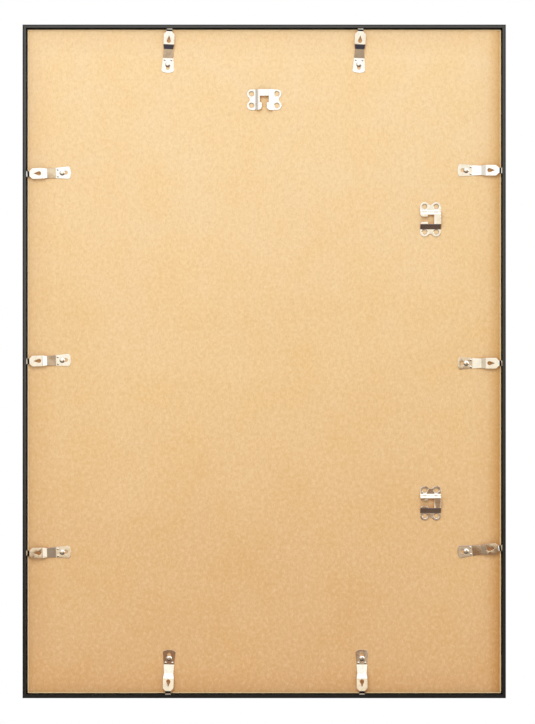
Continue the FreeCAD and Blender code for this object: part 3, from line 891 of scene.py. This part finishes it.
def arrisSection(shape, burr, fray):
    # From the board's side, out under the burr, over it and down onto the face
    wide = (shape["wide"] + shape["ragged"] * fray) * mm
    proud = (shape["proud"] + shape["ragged"] * shape["proudFray"] * fray) * mm
    burr = burr * (1 + shape["burrFray"] * fray) * mm
    under = shape["under"] * mm
    return ((0.0, -under), (-burr, -0.5 * under), (-0.8 * burr, proud * 0.4),
            (0.3 * wide, proud), (0.7 * wide, proud * 0.7), (wide, -0.02 * mm))


def makeArris(shape):
    low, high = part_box("backing_board")
    corners = [(low.x, low.z), (high.x, low.z), (high.x, high.z), (low.x, high.z)]
    solid = bmesh.new()
    rings = []
    for number, (start, end) in enumerate(zip(corners, corners[1:] + corners[:1])):
        run = Vector((end[0] - start[0], end[1] - start[1]))
        count = int(run.length / (shape["step"] * mm))
        inward = Vector((-run.y, run.x)).normalized()
        burrs = shape["burr"]
        for step in range(count):
            spot = Vector(start) + run * (step / count)
            seed = Vector((spot.x * shape["frayScale"], number * shape["sideShift"],
                           spot.y * shape["frayScale"]))
            lean, burr = inward, burrs[number]
            if step == 0:   # a mitre at each corner, between two sides' burrs
                lean = inward + Vector((inward.y, -inward.x))
                burr = (burrs[number] + burrs[number - 1]) / 2
            ring = []
            for across, rise in arrisSection(shape, burr, noise.noise(seed)):
                point = spot + lean * across
                ring.append(solid.verts.new((point.x, -rise, point.y)))
            rings.append(ring)
    for first, second in zip(rings, rings[1:] + rings[:1]):
        for number in range(len(first) - 1):
            solid.faces.new([first[number], first[number + 1], second[number + 1], second[number]])
    bmesh.ops.recalc_face_normals(solid, faces=solid.faces[:])
    piece = makePiece(solid, "boardArris", arrisMaterial(arrisFinish))
    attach(piece, "frame")


makeArris(arrisShape)
print("board edge made")


# Studio: white surroundings, a soft key from the upper left, a pale floor well below

studio = {
    "floorBelow": 0.28, "floorSize": 14.0, "fadeStart": 0.55, "fadeEnd": 1.25,
    "floorTone": (0.90, 0.90, 0.89, 1), "floorRough": 0.9,
    "fill": 0.64, "fillColour": (1.0, 0.985, 0.96, 1), "mirrored": 1.35,
    "darkRise": [(0.20, 0.04), (0.26, 0.0), (0.47, 0.0), (0.485, 0.011), (0.515, 0.020),
                 (0.525, 0.038), (0.535, 0.086), (0.546, 0.098), (0.60, 0.18), (0.66, 0.18),
                 (0.73, 0.0)],
}

lamps = {   # place, size, power and colour
    "key": ((-0.25, -1.6, 0.80), 1.3, 15.5, (1, 1, 1)),
    "warmFill": ((0.3, -1.4, -1.7), 1.2, 3.0, (1.0, 0.80, 0.58)),
    "farKey": ((0.7, 2.2, 1.3), 1.3, 26.0, (1, 1, 1)),      # lights the picture side
}

roomByHeight = [  # what bright metal sees, from straight down to straight up
    (0.00, (0.11, 0.07, 0.05)), (0.025, (0.10, 0.065, 0.05)), (0.042, (0.022, 0.026, 0.045)),
    (0.19, (0.055, 0.05, 0.062)), (0.26, (0.18, 0.145, 0.125)), (0.385, (0.28, 0.215, 0.155)),
    (0.403, (0.36, 0.27, 0.19)), (0.412, (0.58, 0.45, 0.31)), (0.422, (0.34, 0.24, 0.155)),
    (0.430, (0.23, 0.12, 0.065)), (0.4465, (0.20, 0.11, 0.055)), (0.4515, (0.62, 0.48, 0.31)),
    (0.470, (0.78, 0.67, 0.50)), (0.500, (0.84, 0.78, 0.65)), (0.520, (0.90, 0.88, 0.82)),
    (0.545, (0.97, 0.97, 0.95)), (0.590, (0.88, 0.82, 0.70)), (0.640, (0.95, 0.94, 0.92)),
    (0.70, (1.0, 1.0, 1.0)), (1.00, (1.0, 1.0, 1.0)),
]
roomBySide = [  # grey wall at the left, window at the right
    (0.00, (0.50, 0.50, 0.52)), (0.14, (0.68, 0.66, 0.64)), (0.25, (0.80, 0.78, 0.76)),
    (0.38, (1.0, 1.0, 1.0)), (0.74, (1.0, 1.0, 1.0)), (0.80, (1.08, 1.12, 1.22)),
    (0.95, (1.1, 1.15, 1.25)), (0.98, (3.0, 3.6, 4.3)),
]


def makeWorld(setup):
    world = bpy.data.worlds.new("studio")
    scene.world = world
    world.use_nodes = True
    tree = world.node_tree
    tree.nodes.clear()
    axes = axesOf(tree, addNode(tree, "ShaderNodeTexCoord").outputs["Generated"])
    # Dark things below stand higher toward the right, as far as the window
    rise = [(place, (lift, lift, lift)) for place, lift in setup["darkRise"]]
    acrossRoom = remap(tree, axes["X"], -1.0, 1.0)
    risen = ramp(tree, acrossRoom, rise)
    lowered = calc(tree, "SUBTRACT", axes["Z"], risen)
    height = ramp(tree, remap(tree, lowered, -1.0, 1.0), roomByHeight)
    side = ramp(tree, acrossRoom, roomBySide)
    room = blendColours(tree, 1.0, height, side, "MULTIPLY")
    path = addNode(tree, "ShaderNodeLightPath").outputs
    skies = [(room, setup["mirrored"]), (setup["fillColour"], setup["fill"]), ((1, 1, 1, 1), 1.0)]
    mirrored, soft, white = (
        addNode(tree, "ShaderNodeBackground", {"Color": colour, "Strength": strength}).outputs[0]
        for colour, strength in skies)
    shiny = addNode(tree, "ShaderNodeMixShader",
                    {0: path["Is Glossy Ray"], 1: soft, 2: mirrored}).outputs[0]
    seen = calc(tree, "MAXIMUM", path["Is Camera Ray"], path["Is Transmission Ray"])
    final = addNode(tree, "ShaderNodeMixShader", {0: seen, 1: shiny, 2: white}).outputs[0]
    addNode(tree, "ShaderNodeOutputWorld", {"Surface": final})


def makeLamp(name, place, size, power, colour):
    data = bpy.data.lights.new(name, "AREA")
    data.shape = "DISK"
    data.size = size
    data.energy = power
    data.color = colour
    lamp = bpy.data.objects.new(name, data)
    target = (cadLow + cadHigh) / 2
    lamp.location = place
    lamp.rotation_euler = (target - Vector(place)).to_track_quat("-Z", "Y").to_euler()
    lamp.visible_glossy = False
    scene.collection.objects.link(lamp)


def floorMaterial(setup):
    # Fades to plain white away from the frame, for the camera alone
    material, tree, shader = startMaterial("paleFloor")
    axes = axesOf(tree, addNode(tree, "ShaderNodeTexCoord").outputs["Object"])
    squares = [calc(tree, "POWER", axes[axis], 2.0) for axis in "XY"]
    away = calc(tree, "SQRT", calc(tree, "ADD", *squares))
    fill(tree, shader, {"Base Color": setup["floorTone"], "Roughness": setup["floorRough"]})
    seen = addNode(tree, "ShaderNodeLightPath").outputs["Is Camera Ray"]
    faded = times(tree, remap(tree, away, setup["fadeStart"], setup["fadeEnd"]), seen)
    glow = addNode(tree, "ShaderNodeEmission", {"Color": (1, 1, 1, 1), "Strength": 1.0})
    mixed = addNode(tree, "ShaderNodeMixShader",
                    {0: faded, 1: shader.outputs[0], 2: glow.outputs[0]})
    tree.links.new(mixed.outputs[0], tree.nodes["Material Output"].inputs["Surface"])
    return material


def makeFloor(setup):
    mesh = bpy.data.meshes.new("floor")
    half = setup["floorSize"] / 2
    level = cadLow.z - setup["floorBelow"]
    corners = [(-half, -half, level), (half, -half, level), (half, half, level),
               (-half, half, level)]
    mesh.from_pydata(corners, [], [(0, 1, 2, 3)])
    floor = bpy.data.objects.new("floor", mesh)
    scene.collection.objects.link(floor)
    mesh.materials.append(floorMaterial(setup))
    floor.visible_glossy = False


makeWorld(studio)
for lampName, (place, size, power, colour) in lamps.items():
    makeLamp(lampName, place, size, power, colour)
makeFloor(studio)
scene.view_settings.view_transform = "Standard"
print("studio made")

bpy.context.view_layer.update()
